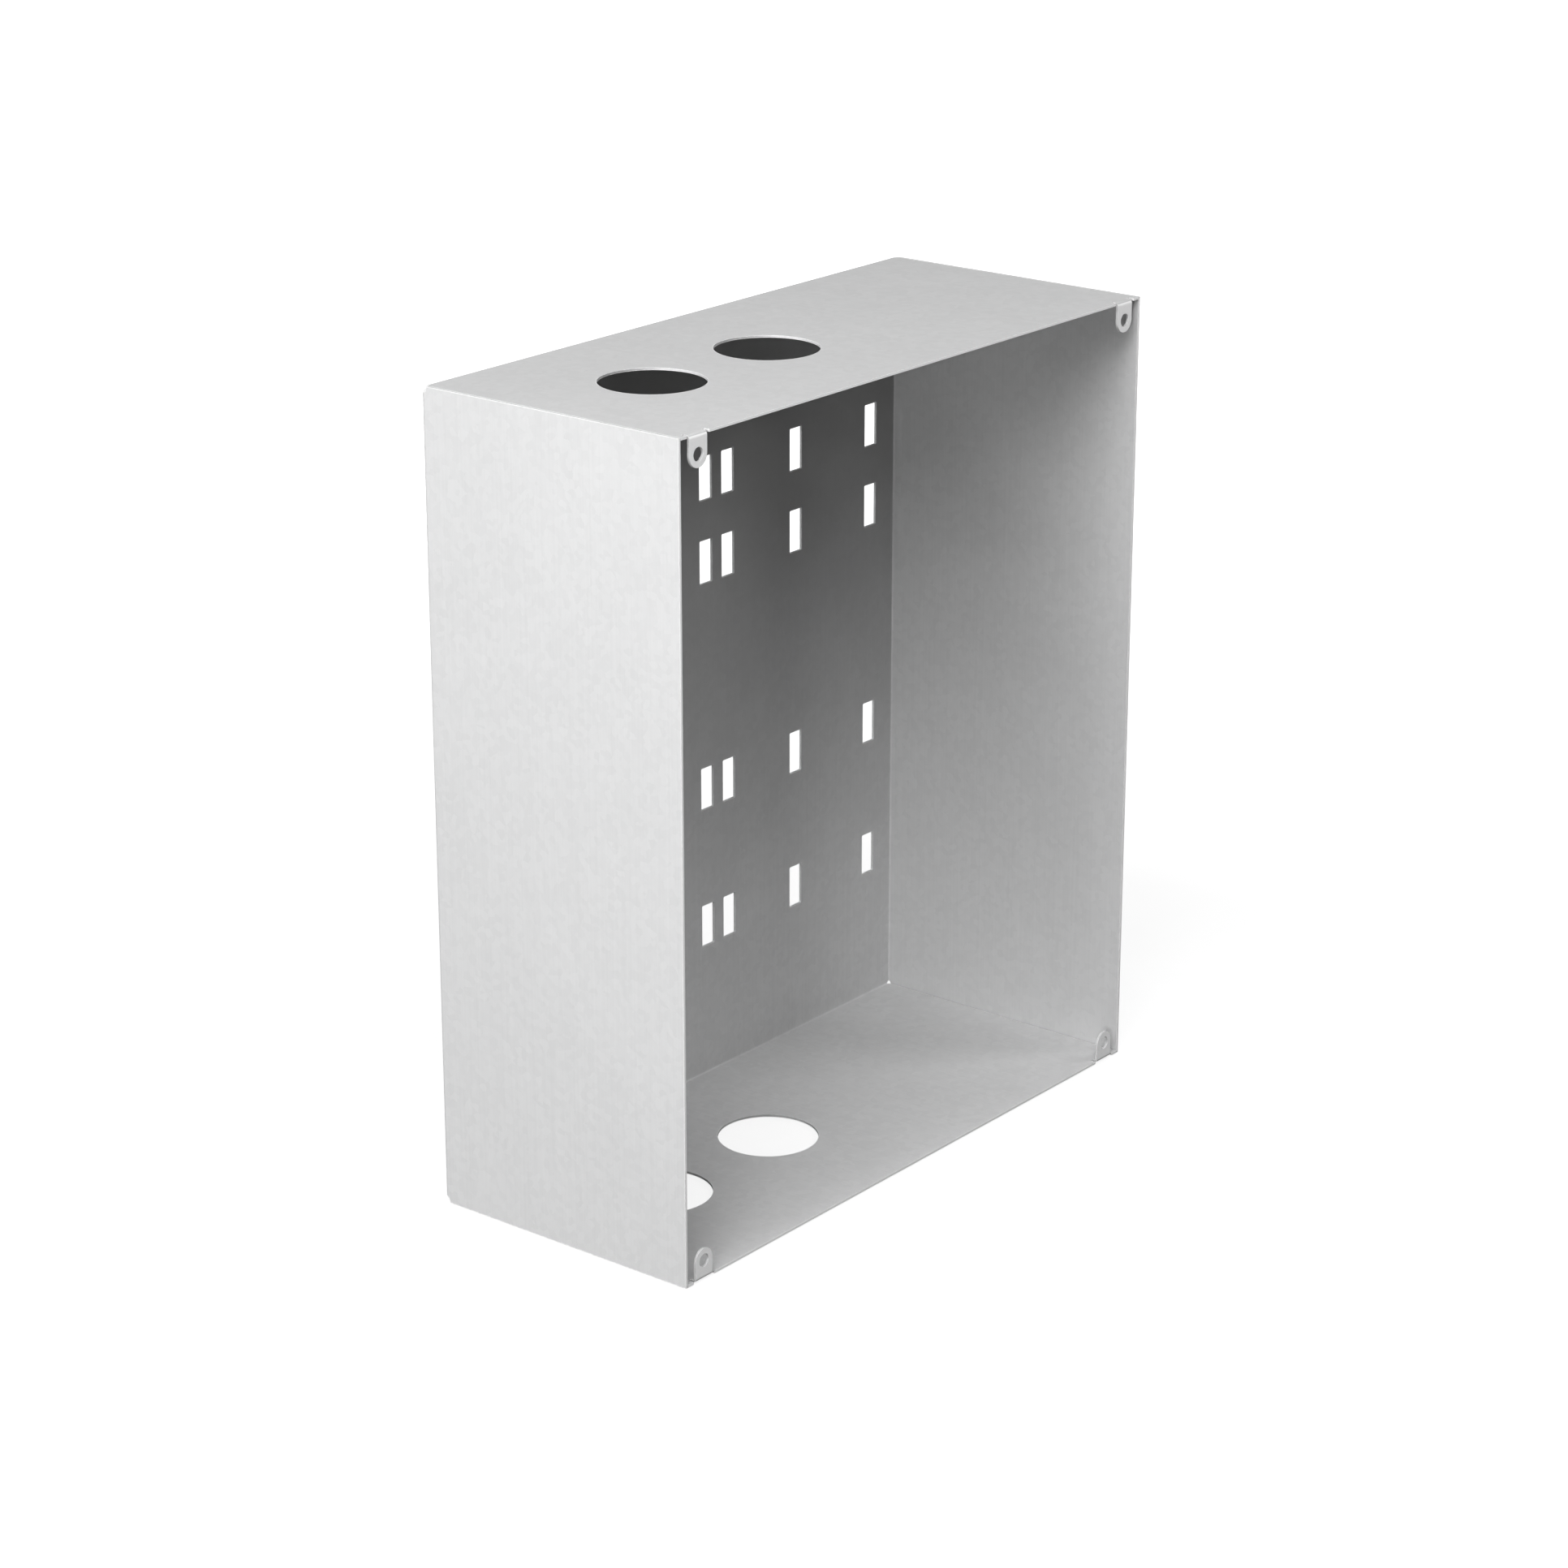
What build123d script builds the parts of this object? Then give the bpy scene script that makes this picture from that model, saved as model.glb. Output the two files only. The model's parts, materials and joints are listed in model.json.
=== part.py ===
# Flush mounting box, folded from one blank of sheet steel.
# The box stands on its bottom wall with its open front towards -Y and its back wall at +Y.
# The origin is the middle of the footprint, on the underside of the bottom wall, and +Z is up.
# All sizes are millimetres.
from build123d import *
import os

# Outside size of the folded box
box_width = 350
box_depth = 150
box_height = 400

# The sheet and its folds
sheet = 1.2
bend_inside = 0.8
bend_outside = bend_inside + sheet

# The top and bottom walls end just short of the side walls, which leaves an open seam
seam_gap = 0.3
# Where two folds cross at a back corner, a round notch keeps the sheet from tearing
corner_relief_margin = 1.2
corner_relief = bend_outside + corner_relief_margin

# Round cable entries, the same pair in the top wall and in the bottom wall
entry_diameter = 50
entry_from_left = 71
entry_pitch = 82

# Upright fixing slots in the back wall, in columns to each side of the middle
slot_width = 9.5
slot_height = 22
slot_corner = 0.5
inner_column = 21.5
second_column = 38.5
third_column = 92.5
outer_column_from_side = 21
lowest_row = 82
second_row = 155.5
third_row_from_top = 126.5
top_row_from_top = 84

# Screw lugs, folded in from the front edge of the top and bottom walls
lug_width = 12
lug_from_side = 13
lug_hole_diameter = 6.5
lug_hole_from_face = 9.5
# A notch beside each lug frees its fold from the rest of the wall
notch_width = 1.5
notch_margin = 1

# Places that follow from the sizes above
half_width = box_width / 2
half_depth = box_depth / 2
mid_height = box_height / 2
front_plane = Plane.XZ.offset(half_depth)
back_plane = Plane.XZ.offset(-half_depth)
top_plane = Plane.XY.offset(box_height)
notch_depth = bend_outside + notch_margin
lug_x = half_width - lug_from_side
lug_hole_z = box_height - lug_hole_from_face
lug_end_radius = lug_width / 2
# A punch goes right through one wall, with room to spare
punch_depth = 2 * sheet

column_offsets = [inner_column, second_column, third_column, half_width - outer_column_from_side]
row_heights = [lowest_row, second_row, box_height - third_row_from_top, box_height - top_row_from_top]
slot_places = [(side * x, z) for side in (-1, 1) for x in column_offsets for z in row_heights]
entry_places = [(entry_from_left - half_width + step * entry_pitch, 0) for step in (0, 1)]
lug_sides = [(-lug_x, 0), (lug_x, 0)]

# One lug at the middle of the top wall. Its section runs along the wall, round the fold and down
# the front, and its outline gives it straight sides, a full round end and the screw hole.
with BuildPart() as lug:
    with BuildSketch(Plane.YZ):
        with BuildLine():
            FilletPolyline(
                (notch_depth - half_depth, box_height),
                (-half_depth, box_height),
                (-half_depth, lug_hole_z - lug_end_radius),
                radius=bend_outside,
            )
            offset(amount=sheet, side=Side.LEFT)
        make_face()
    extrude(amount=lug_width, both=True)
    with BuildSketch(front_plane):
        with Locations((0, lug_hole_z)):
            Circle(lug_end_radius)
            Rectangle(lug_width, lug_hole_from_face, align=(Align.CENTER, Align.MIN))
            Circle(lug_hole_diameter / 2, mode=Mode.SUBTRACT)
    extrude(amount=-notch_depth, mode=Mode.INTERSECT)

with BuildPart() as box_body:
    # Four walls folded up from the back wall, as a shell that is open at the front
    Box(box_width, box_depth, box_height, align=(Align.CENTER, Align.CENTER, Align.MIN))
    fillet(box_body.faces().sort_by(Axis.Y)[-1].edges(), radius=bend_outside)
    offset(amount=-sheet, openings=box_body.faces().sort_by(Axis.Y)[0])

    # Seams along the four edges that run from front to back, up to where the folds begin
    with BuildSketch(front_plane):
        with Locations((0, mid_height)):
            with GridLocations(box_width - 2 * sheet - seam_gap, box_height - sheet, 2, 2):
                Rectangle(seam_gap, sheet)
    extrude(amount=bend_outside - box_depth, mode=Mode.SUBTRACT)

    # Round notches where the folds cross at the four back corners
    with Locations(back_plane.location):
        with Locations((0, mid_height)):
            with GridLocations(box_width, box_height, 2, 2):
                Sphere(corner_relief, mode=Mode.SUBTRACT)

    # Fixing slots in the back wall
    with BuildSketch(back_plane):
        with Locations(*slot_places):
            RectangleRounded(slot_width, slot_height, slot_corner)
    extrude(amount=punch_depth, mode=Mode.SUBTRACT)

    # Cable entries, and the gaps in the front edge that the lugs and their notches take
    with BuildSketch(Plane.XY, top_plane):
        with Locations(*entry_places):
            Circle(entry_diameter / 2)
        with Locations((0, -half_depth)):
            with Locations(*lug_sides):
                Rectangle(lug_width + 2 * notch_width, notch_depth, align=(Align.CENTER, Align.MIN))
    extrude(amount=punch_depth, both=True, mode=Mode.SUBTRACT)

    # Two lugs hang from the top wall, and their mirror images stand on the bottom wall
    with Locations(*lug_sides):
        add(lug.part)
        add(lug.part.mirror(Plane.XY.offset(mid_height)))

box_body.part.label = "box_body"
os.makedirs("parts", exist_ok=True)
export_step(box_body.part, "parts/box_body.step")
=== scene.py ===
# %% [markdown]
# A flush mounting box in zinc-coated sheet steel.
# The real box is one blank of sheet steel, punched and folded, and set open side out in a wall.
# Its shape comes ready made from the frame, so this lesson is about the rest: the camera, a pale
# studio round the box, and a finish that reads as rolled and galvanised sheet.
# Everything is in metres. The box stands on the floor, its open front faces -Y and +Z is up.

# %% Load the fixed frame
import json
import math

import bpy
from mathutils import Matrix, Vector


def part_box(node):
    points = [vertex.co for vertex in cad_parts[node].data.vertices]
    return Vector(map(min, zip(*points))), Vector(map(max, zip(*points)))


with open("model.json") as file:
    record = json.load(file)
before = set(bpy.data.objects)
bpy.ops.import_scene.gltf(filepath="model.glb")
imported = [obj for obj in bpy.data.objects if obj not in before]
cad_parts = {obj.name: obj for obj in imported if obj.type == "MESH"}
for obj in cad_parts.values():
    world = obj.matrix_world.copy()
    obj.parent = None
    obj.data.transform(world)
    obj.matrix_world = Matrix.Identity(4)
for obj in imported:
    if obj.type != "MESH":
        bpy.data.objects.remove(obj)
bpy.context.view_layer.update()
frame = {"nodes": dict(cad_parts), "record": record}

print("nodes:", sorted(frame["nodes"]))

# %% [markdown]
# The sizes that the finish needs are read from the frame, not typed in again. The outside size is
# the node's own box. The sheet's thickness is the length of the wall in a punched cable entry,
# which the record states for each of its bores.

# %% Read the box's own sizes
low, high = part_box("box_body")
width, depth, height = high - low
middle = (low + high) / 2
bores = [mount for mount in frame["record"]["mounts"] if mount["kind"] == "bore"]
sheet = bores[0]["dims"]["length_mm"] / 1000
print(f"box {width:.3f} x {depth:.3f} x {height:.3f} m, sheet {sheet * 1000:.2f} mm")

# %% [markdown]
# The camera and the lights are all placed round the box, so one small helper turns an azimuth and
# an elevation into a direction. Azimuth 0 is straight in front of the open side, and a negative
# azimuth is towards the left of it.

# %% A direction from two angles
def direction(azimuth, elevation):
    """The unit vector that points from the box to this azimuth and elevation, in degrees."""
    turn, rise = math.radians(azimuth), math.radians(elevation)
    across, towards_front = math.sin(turn), -math.cos(turn)
    level = math.cos(rise)
    return Vector((across * level, towards_front * level, math.sin(rise)))


print("straight in front is", tuple(round(v, 3) for v in direction(0, 0)))

# %% [markdown]
# The camera looks at the box from its front left and a little above, with a long lens, so the
# upright edges stay almost parallel. A camera can be placed by hand, by a parent empty or by an
# angle and a distance. Angle and distance are used here, because those are what a photographer
# would note down, and the point looked at stays a named value.

# %% Place the camera
camera_azimuth = -51.4
camera_elevation = 19.5
camera_distance = 1.96
camera_lens = 93.2
look_at = Vector((-0.0094, 0.0, 0.1823))

towards_camera = direction(camera_azimuth, camera_elevation)
camera_data = bpy.data.cameras.new("studio_camera")
camera_data.lens = camera_lens
camera = bpy.data.objects.new("studio_camera", camera_data)
camera.location = look_at + towards_camera * camera_distance
camera.rotation_euler = towards_camera.to_track_quat("Z", "Y").to_euler()
bpy.context.scene.collection.objects.link(camera)
bpy.context.scene.camera = camera
print("camera at", tuple(round(v, 3) for v in camera.location))

# %% [markdown]
# A node tree is easier to read when each node is made by one short call. The first helper adds a
# node, sets its options, and fills its inputs: an input's name is written with underscores for
# spaces, or as i and its number where names repeat, and a socket given as a value becomes a link.
# The others are short names for the few steps that every finish here is made of.

# %% Helpers for node trees
def add_node(tree, kind, settings=None, **inputs):
    """Add a node, set its options, and fill its inputs with values or linked sockets."""
    node = tree.nodes.new(kind)
    for name, value in (settings or {}).items():
        setattr(node, name, value)
    for name, value in inputs.items():
        by_number = name[0] == "i" and name[1:].isdigit()
        socket = node.inputs[int(name[1:]) if by_number else name.replace("_", " ")]
        if isinstance(value, bpy.types.NodeSocket):
            tree.links.new(value, socket)
        else:
            socket.default_value = value
    return node


def calculate(tree, operation, *values):
    """One step of arithmetic on values, as a value socket."""
    inputs = {f"i{number}": value for number, value in enumerate(values)}
    return add_node(tree, "ShaderNodeMath", {"operation": operation}, **inputs).outputs[0]


def calculate_vector(tree, operation, *vectors):
    """One step of arithmetic on vectors, as a vector socket."""
    inputs = {f"i{number}": vector for number, vector in enumerate(vectors)}
    return add_node(tree, "ShaderNodeVectorMath", {"operation": operation}, **inputs).outputs[0]


def spread(tree, value, low_end, high_end, to_low=0.0, to_high=1.0):
    """Stretch a range of values to another one, clamped at both ends."""
    ends = {"i1": low_end, "i2": high_end, "i3": to_low, "i4": to_high}
    return add_node(tree, "ShaderNodeMapRange", i0=value, **ends).outputs[0]


def blend_colours(tree, mask, first, second):
    """The first colour where the mask is 0, the second where it is 1."""
    mix = add_node(tree, "ShaderNodeMix", {"data_type": "RGBA"}, i0=mask, i6=first, i7=second)
    return mix.outputs[2]


# %% [markdown]
# An effect that several finishes share belongs in a node group, as a small machine with named
# knobs. These two helpers make an empty group with its inputs and outputs, and place a finished
# group in a material with its own settings.

# %% Helpers for node groups
def new_group(name, inputs, outputs):
    """A node group with inputs {name: default}, values or vectors, and value outputs [name]."""
    group = bpy.data.node_groups.new(name, "ShaderNodeTree")
    for socket_name, default in inputs.items():
        kind = "NodeSocketVector" if isinstance(default, tuple) else "NodeSocketFloat"
        socket = group.interface.new_socket(socket_name, in_out="INPUT", socket_type=kind)
        socket.default_value = default
    for socket_name in outputs:
        group.interface.new_socket(socket_name, in_out="OUTPUT", socket_type="NodeSocketFloat")
    knobs = group.nodes.new("NodeGroupInput").outputs
    results = group.nodes.new("NodeGroupOutput").inputs
    return group, knobs, results


def place_group(tree, name, **inputs):
    """A node that uses the named group, with its outputs by name."""
    node = tree.nodes.new("ShaderNodeGroup")
    node.node_tree = bpy.data.node_groups[name]
    for input_name, value in inputs.items():
        node.inputs[input_name.replace("_", " ")].default_value = value
    return node.outputs


# %% [markdown]
# Hot zinc freezes on steel in flat crystals, the spangle, each a slightly different grey because
# it reflects the light a little differently. It could be painted as a picture, but a Voronoi
# texture already divides space into cells that look like crystals, has no seams at the folds, and
# gives each cell its own random grey. A little noise bends the cells' straight borders.

# %% Group: the spangle of the zinc
group, knobs, results = new_group("zinc_spangle", {"Crystal Size": 0.004, "Bend": 0.5}, ["Tone"])
place = add_node(group, "ShaderNodeTexCoord").outputs["Object"]
in_crystals = calculate_vector(group, "DIVIDE", place, knobs["Crystal Size"])
noise = add_node(group, "ShaderNodeTexNoise", Vector=in_crystals, Scale=1.3, Detail=1.0)
noise_middle = (0.5, 0.5, 0.5)
wander = calculate_vector(group, "SUBTRACT", noise.outputs["Color"], noise_middle)
wander = add_node(
    group, "ShaderNodeVectorMath", {"operation": "SCALE"}, i0=wander, Scale=knobs["Bend"]
).outputs[0]
bent = calculate_vector(group, "ADD", in_crystals, wander)
cells = add_node(group, "ShaderNodeTexVoronoi", Vector=bent, Scale=1.0)
cell_grey = add_node(group, "ShaderNodeSeparateColor", Color=cells.outputs["Color"]).outputs[0]
group.links.new(cell_grey, results["Tone"])
print(group.name, "has", len(group.nodes), "nodes")

# %% [markdown]
# Rolling leaves fine streaks along the sheet. The blank was rolled along what is now the height of
# the back wall, so the side walls keep upright streaks, but the top and bottom walls are folded
# over and their streaks run from front to back. Noise that is squeezed across and stretched along
# makes such streaks, and the surface's own direction picks which way they run.

# %% Group: the grain from the rolling mill
group, knobs, results = new_group("rolling_grain", {"Pitch": 0.001, "Run": 0.08}, ["Grain"])
coordinates = add_node(group, "ShaderNodeTexCoord").outputs
pitch, run = knobs["Pitch"], knobs["Run"]
upright = add_node(group, "ShaderNodeCombineXYZ", X=pitch, Y=pitch, Z=run).outputs[0]
lying = add_node(group, "ShaderNodeCombineXYZ", X=pitch, Y=run, Z=pitch).outputs[0]
faces_up = add_node(group, "ShaderNodeSeparateXYZ", Vector=coordinates["Normal"]).outputs["Z"]
level_from = 0.7
on_top_or_bottom = calculate(
    group, "GREATER_THAN", calculate(group, "ABSOLUTE", faces_up), level_from
)
stretch = add_node(
    group, "ShaderNodeMix", {"data_type": "VECTOR"}, i0=on_top_or_bottom, i4=upright, i5=lying
).outputs[1]
along = calculate_vector(group, "DIVIDE", coordinates["Object"], stretch)
streaks = add_node(group, "ShaderNodeTexNoise", Vector=along, Scale=1.0, Detail=3.0, Roughness=0.6)
weakest, strongest = 0.3, 0.7
group.links.new(spread(group, streaks.outputs["Fac"], weakest, strongest), results["Grain"])
print(group.name, "has", len(group.nodes), "nodes")

# %% [markdown]
# No large plain surface is the same all over: zinc dulls in clouds, and hands and paper leave
# faint marks. Two soft noises of different size give the clouds. The floor uses this group too.

# %% Group: soft clouds
group, knobs, results = new_group("soft_clouds", {"Size": 0.1}, ["Cloud"])
place = add_node(group, "ShaderNodeTexCoord").outputs["Object"]
in_clouds = calculate_vector(group, "DIVIDE", place, knobs["Size"])
large = add_node(
    group, "ShaderNodeTexNoise", Vector=in_clouds, Scale=1.0, Detail=2.0, Distortion=0.4
)
small = add_node(group, "ShaderNodeTexNoise", Vector=in_clouds, Scale=6.0, Detail=3.0)
large_share, small_share = 0.65, 0.35
both = calculate(group, "MULTIPLY", large.outputs["Fac"], large_share)
both = calculate(group, "MULTIPLY_ADD", small.outputs["Fac"], small_share, both)
clear, clouded = 0.35, 0.65
group.links.new(spread(group, both, clear, clouded), results["Cloud"])
print(group.name, "has", len(group.nodes), "nodes")

# %% [markdown]
# Where the sheet is sheared or punched, the cut shows bare bright steel, and its corners are
# rubbed. The Bevel node tells how far the surface would be rounded within a given width, so its
# normal differs from the true one only near an edge. That difference, broken up by fine noise, is
# the mask. It costs no geometry and follows every slot, hole and lug by itself.

# %% Group: bright cut edges
group, knobs, results = new_group("cut_edges", {"Width": 0.001}, ["Edge"])
rounded = add_node(group, "ShaderNodeBevel", {"samples": 4}, Radius=knobs["Width"]).outputs[0]
true_normal = add_node(group, "ShaderNodeNewGeometry").outputs["Normal"]
alike = add_node(
    group, "ShaderNodeVectorMath", {"operation": "DOT_PRODUCT"}, i0=rounded, i1=true_normal
).outputs["Value"]
place = add_node(group, "ShaderNodeTexCoord").outputs["Object"]
nicks = add_node(group, "ShaderNodeTexNoise", Vector=place, Scale=700.0, Detail=2.0).outputs["Fac"]
flat, turned_over = 0.995, 0.86
near_edge = spread(group, alike, flat, turned_over)
least_bright = 0.55
broken = calculate(group, "MULTIPLY", near_edge, spread(group, nicks, 0.3, 0.6, least_bright, 1.0))
group.links.new(broken, results["Edge"])
print(group.name, "has", len(group.nodes), "nodes")

# %% [markdown]
# The rim of the opening and the faces of the four lugs are what a cover and a plaster frame rub
# against, so they are worn a little. Beyond that wear they are painted much brighter than the
# walls, as painted light on the faces that look to the front. They all lie in the front plane and
# face the front, and those two facts are the mask. The plane's place is a knob, set from the box.

# %% Group: the rubbed front, with painted light
group, knobs, results = new_group("rubbed_front_painted_light", {"Front": 0.0, "Reach": 0.001}, ["Rub"])
coordinates = add_node(group, "ShaderNodeTexCoord").outputs
along_depth = add_node(group, "ShaderNodeSeparateXYZ", Vector=coordinates["Object"]).outputs["Y"]
behind_front = calculate(group, "SUBTRACT", along_depth, knobs["Front"])
close = spread(group, calculate(group, "DIVIDE", behind_front, knobs["Reach"]), 1.0, 0.5)
facing = add_node(group, "ShaderNodeSeparateXYZ", Vector=coordinates["Normal"]).outputs["Y"]
slanting, square_on = -0.5, -0.9
to_front = spread(group, facing, slanting, square_on)
group.links.new(calculate(group, "MULTIPLY", close, to_front), results["Rub"])
print(group.name, "has", len(group.nodes), "nodes")

# %% [markdown]
# This group paints shade into the colour. It marks two surfaces that are to be darker than light
# alone makes them: the outside of the top wall, and the inside of the back wall, most of all under
# the top wall. The same mask also takes the sheen off the sheet, so it both greys it and dulls it.
# It could be a material of its own, but as a mask it fades into the rest. The mask is where the
# surface faces a given direction, rising from nothing at one height to full at another, and a soft
# noise keeps it uneven.

# %% Group: painted shade and dull sheen
knob_values = {"Facing": (0.0, 0.0, 1.0), "Foot": 0.0, "Head": 0.1, "Patch Size": 0.05}
group, knobs, results = new_group("painted_shade_and_dull_sheen", knob_values, ["Film"])
coordinates = add_node(group, "ShaderNodeTexCoord").outputs
turned = add_node(
    group,
    "ShaderNodeVectorMath",
    {"operation": "DOT_PRODUCT"},
    i0=coordinates["Normal"],
    i1=knobs["Facing"],
).outputs["Value"]
rise = add_node(group, "ShaderNodeSeparateXYZ", Vector=coordinates["Object"]).outputs["Z"]
# Painted shade grows from nothing at Foot to full at Head.
darker_towards_head = spread(group, rise, knobs["Foot"], knobs["Head"])
slanting, square_on = 0.5, 0.9
shaded_faces = calculate(group, "MULTIPLY", spread(group, turned, slanting, square_on), darker_towards_head)
in_patches = calculate_vector(group, "DIVIDE", coordinates["Object"], knobs["Patch Size"])
patches = add_node(group, "ShaderNodeTexNoise", Vector=in_patches, Scale=1.0, Detail=4.0)
faintest_shade = 0.8
patchy = spread(group, patches.outputs["Fac"], 0.35, 0.65, faintest_shade, 1.0)
uneven = calculate(group, "MULTIPLY", shaded_faces, patchy)
group.links.new(uneven, results["Film"])
print(group.name, "has", len(group.nodes), "nodes")

# %% [markdown]
# The finish of the box puts the groups together. Zinc-coated sheet is a metal, but a dull one: its
# coat scatters most of the light, so Metallic stays low and Roughness above the middle. A mirror
# finish would need a room to reflect, and in a plain studio it would only look black or white.
# The crystals, the grain and the clouds each move the grey by a few percent, and share one value,
# the shade, that moves the roughness too.

# %% Finish: shade of the zinc coat
zinc = bpy.data.materials.new("galvanised_sheet")
zinc.use_nodes = True
tree = zinc.node_tree
surface = tree.nodes["Principled BSDF"]
surface.inputs["Specular IOR Level"].default_value = 0.3

crystals = place_group(tree, "zinc_spangle", Crystal_Size=0.0035, Bend=0.6)
grain = place_group(tree, "rolling_grain", Pitch=0.0012, Run=0.11)
clouds = place_group(tree, "soft_clouds", Size=0.12)
crystal_share, grain_share, cloud_share = 0.4, 0.25, 0.35
shade = calculate(tree, "MULTIPLY", crystals["Tone"], crystal_share)
shade = calculate(tree, "MULTIPLY_ADD", grain["Grain"], grain_share, shade)
shade = calculate(tree, "MULTIPLY_ADD", clouds["Cloud"], cloud_share, shade)

dark_zinc, pale_zinc = (0.648, 0.649, 0.651, 1), (0.716, 0.717, 0.719, 1)
coat = blend_colours(tree, shade, dark_zinc, pale_zinc)
roughest, smoothest = 0.70, 0.58
dullness = spread(tree, shade, 0.0, 1.0, roughest, smoothest)
print("the coat goes from", dark_zinc[:3], "to", pale_zinc[:3])

# %% [markdown]
# Over the coat lie the two things that change it: painted shade on the top and on the back wall,
# and the places that are cut or rubbed bright, where the front faces also carry painted light.
# Where either of them is, Metallic falls to nothing, and the surface scatters light. The shaded
# places are rougher than the coat, the bright places are smoother. On the top the painted shade is
# weak and greys the coat only a little.

# %% Finish: painted shade, cut edges and rubbed front
edges = place_group(tree, "cut_edges", Width=0.75 * sheet)
# The front mask is partly rubbing wear and partly painted light on the faces that look to the
# front.
front = place_group(tree, "rubbed_front_painted_light", Front=low.y, Reach=0.5 * sheet)
# Painted shade: the outside of the top wall is greyed a little and loses its sheen.
top_painted_shade = place_group(
    tree, "painted_shade_and_dull_sheen", Foot=middle.z, Head=high.z - sheet, Patch_Size=0.06
)["Film"]
# Painted shade: the inside of the back wall greys more and more towards its head under the top
# wall.
back_painted_shade = place_group(
    tree, "painted_shade_and_dull_sheen", Facing=(0, -1, 0), Foot=0.08, Head=0.34, Patch_Size=0.09
)["Film"]
bright = calculate(tree, "MAXIMUM", edges["Edge"], front["Rub"])
shaded_and_dull = calculate(tree, "MAXIMUM", top_painted_shade, back_painted_shade)
# How much of the painted shade's grey goes onto the top wall.
top_shade_share = 0.3
painted_shade = calculate(tree, "MAXIMUM", calculate(tree, "MULTIPLY", top_painted_shade, top_shade_share), back_painted_shade)

# The first grey is the colour of the painted shade.
# The second grey is bare steel on cut edges and worn rims, and painted light on the lug faces.
painted_shade_grey, bright_grey = (0.40, 0.40, 0.40, 1), (0.95, 0.95, 0.95, 1)
colour = blend_colours(tree, painted_shade, coat, painted_shade_grey)
colour = blend_colours(tree, bright, colour, bright_grey)
tree.links.new(colour, surface.inputs["Base Color"])

scattering = calculate(tree, "MAXIMUM", bright, shaded_and_dull)
coat_metallic = 0.1
metallic = spread(tree, scattering, 0.0, 1.0, coat_metallic, 0.0)
tree.links.new(metallic, surface.inputs["Metallic"])
dull_where_shaded, rubbing_shines = 0.2, -0.1
dullness = calculate(tree, "MULTIPLY_ADD", shaded_and_dull, dull_where_shaded, dullness)
dullness = calculate(tree, "MULTIPLY_ADD", bright, rubbing_shines, dullness)
tree.links.new(dullness, surface.inputs["Roughness"])
print("sheet finish has", len(tree.nodes), "nodes")

# %% [markdown]
# Thin sheet is never quite flat, and its crystals stand a hair above and below each other. Two Bump
# nodes in a row give both: a broad one for slow waves of half a millimetre, then a fine one for
# crystals and grain. Moving the mesh would cost many faces and change the box's size. The first of
# them starts from a Bevel normal, which takes the razor edge off every cut, as deburring does.

# %% Finish: relief of the sheet
place = add_node(tree, "ShaderNodeTexCoord").outputs["Object"]
waves = add_node(tree, "ShaderNodeTexNoise", Vector=place, Scale=9.0, Detail=1.0).outputs["Fac"]
deburred = add_node(tree, "ShaderNodeBevel", {"samples": 2}, Radius=0.00025).outputs[0]
wave_height = 0.0005
wavy = add_node(
    tree, "ShaderNodeBump", Strength=1.0, Distance=wave_height, Height=waves, Normal=deburred
)

grain_relief = 0.5
fine = calculate(tree, "MULTIPLY_ADD", grain["Grain"], grain_relief, crystals["Tone"])
relief = add_node(
    tree, "ShaderNodeBump", Strength=0.6, Distance=0.00003, Height=fine, Normal=wavy.outputs[0]
)
tree.links.new(relief.outputs[0], surface.inputs["Normal"])

body = frame["nodes"]["box_body"]
body.material_slots[0].material = zinc
print("box_body wears", body.material_slots[0].material.name)

# %% [markdown]
# The box stands on pale paper that runs out of sight and turns into the white behind it. In a real
# studio that white is made with lamps aimed at the paper. Here the Light Path node does it: the
# camera sees paper that glows a little, while the light that bounces up to the box comes from
# plain, darker paper. Near the box the glow is just short of white, so the box's soft shadow
# still shows there.

# %% Lay the studio floor
floor_size, floor_drop = 40, 0.0005
bpy.ops.mesh.primitive_plane_add(size=floor_size, location=(0, 0, -floor_drop))
floor = bpy.context.object
floor.name = "studio_floor"
print("floor", tuple(round(v, 1) for v in floor.dimensions))

# %% Finish: studio paper
paper = bpy.data.materials.new("studio_paper")
paper.use_nodes = True
floor.data.materials.append(paper)
tree = paper.node_tree
tree.nodes.clear()
mottle = place_group(tree, "soft_clouds", Size=0.3)
dark_paper, pale_paper = (0.19, 0.19, 0.19, 1), (0.21, 0.21, 0.21, 1)
paper_grey = blend_colours(tree, mottle["Cloud"], dark_paper, pale_paper)
plain = add_node(tree, "ShaderNodeBsdfDiffuse", Color=paper_grey).outputs[0]

near, far = 0.4, 2.5
glow_near, glow_far = 0.57, 1.05
place = add_node(tree, "ShaderNodeTexCoord").outputs["Object"]
away = add_node(tree, "ShaderNodeVectorMath", {"operation": "LENGTH"}, i0=place).outputs["Value"]
strength = spread(tree, away, near, far, glow_near, glow_far)
glow = add_node(tree, "ShaderNodeEmission", Strength=strength).outputs[0]
lit = add_node(tree, "ShaderNodeAddShader", i0=plain, i1=glow).outputs[0]
seen_by_camera = add_node(tree, "ShaderNodeLightPath").outputs["Is Camera Ray"]
either = add_node(tree, "ShaderNodeMixShader", i0=seen_by_camera, i1=plain, i2=lit).outputs[0]
add_node(tree, "ShaderNodeOutputMaterial", Surface=either)
print(f"paper glows {glow_near} within {near} m and {glow_far} from {far} m")

# %% [markdown]
# The world does the same: white where the camera sees it, and a weak even light for everything
# else, which keeps the shaded sides of the box from going black. The picture is then printed with
# more contrast, as a product photographer would do to keep pale metal from looking flat.

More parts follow.
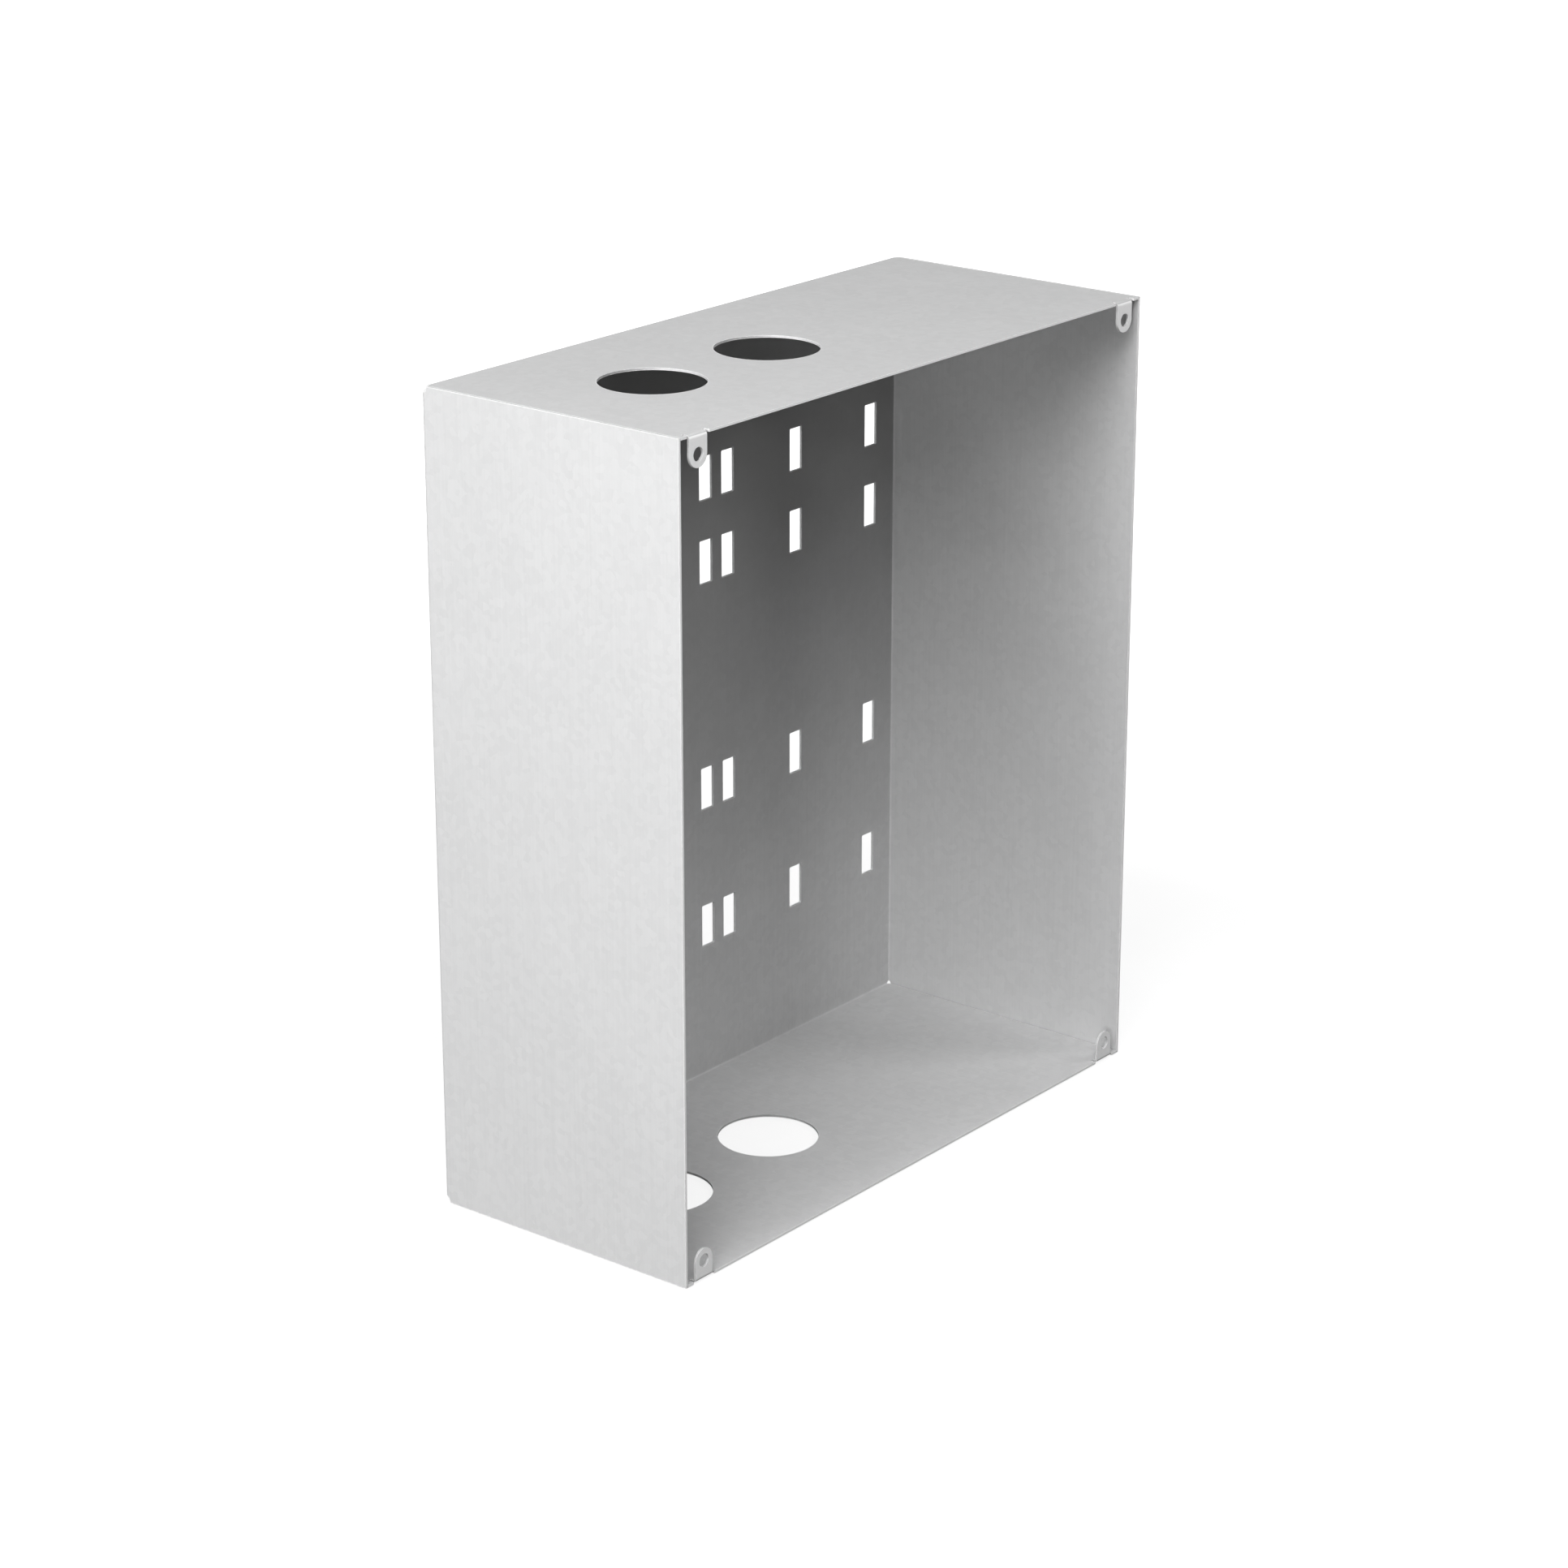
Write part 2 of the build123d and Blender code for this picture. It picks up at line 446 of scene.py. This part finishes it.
# %% Set the world and the contrast
world = bpy.data.worlds.new("studio_world")
bpy.context.scene.world = world
world.use_nodes = True
tree = world.node_tree
tree.nodes.clear()
white, weak_fill = (1, 1, 1, 1), 0.03
around = add_node(tree, "ShaderNodeBackground", Color=white, Strength=weak_fill).outputs[0]
behind = add_node(tree, "ShaderNodeBackground", Color=white, Strength=glow_far).outputs[0]
seen_by_camera = add_node(tree, "ShaderNodeLightPath").outputs["Is Camera Ray"]
either = add_node(tree, "ShaderNodeMixShader", i0=seen_by_camera, i1=around, i2=behind).outputs[0]
add_node(tree, "ShaderNodeOutputWorld", Surface=either)

view = bpy.context.scene.view_settings
view.view_transform = "Standard"
view.look = "High Contrast"
print("world", world.name, "look", view.look)

# %% [markdown]
# The lights are large square soft boxes, because a large light gives soft gradients on dull
# metal. The key stands high at the front left. The top wall keeps its light off the upper part of
# the back wall, and that makes the long fall of tone from the lit floor of the box up into its
# dark head, which the painted shade on the back wall deepens. A weaker one at the front right
# reaches behind the left wall, to the foot of the back wall, and a small low one opens up the lugs
# and the inner right wall. One at the far left lights only the outer left wall, and weak ones at
# the right and the back keep those sides readable when the box is seen from there. The powers could
# be set by eye, but here they were fitted until the greys of the walls came close to the photo's.
# The camera doesn't see the lights themselves.

# %% Hang the soft boxes
def soft_box(name, azimuth, elevation, distance, size, power):
    """A square light, size in metres and power in watts, turned to the middle of the box."""
    data = bpy.data.lights.new(name, "AREA")
    data.size = size
    data.energy = power
    light = bpy.data.objects.new(name, data)
    light.location = middle + direction(azimuth, elevation) * distance
    light.rotation_euler = direction(azimuth, elevation).to_track_quat("Z", "Y").to_euler()
    light.visible_camera = False
    bpy.context.scene.collection.objects.link(light)


# name, azimuth, elevation, distance, size, power
for light in [
    ("key", -58, 52, 2.4, 1.6, 34),
    ("right_front", 45, 25, 2.4, 0.8, 10.5),
    ("low_left_front", -62, 8, 2.4, 0.5, 8.5),
    ("left_side", -96, 22, 2.2, 1.0, 16),
    ("right_side", 97, 14, 2.2, 0.9, 16),
    ("back_side", 168, 14, 2.2, 0.9, 10),
]:
    soft_box(*light)
    print(f"{light[0]}: {light[-1]} W")
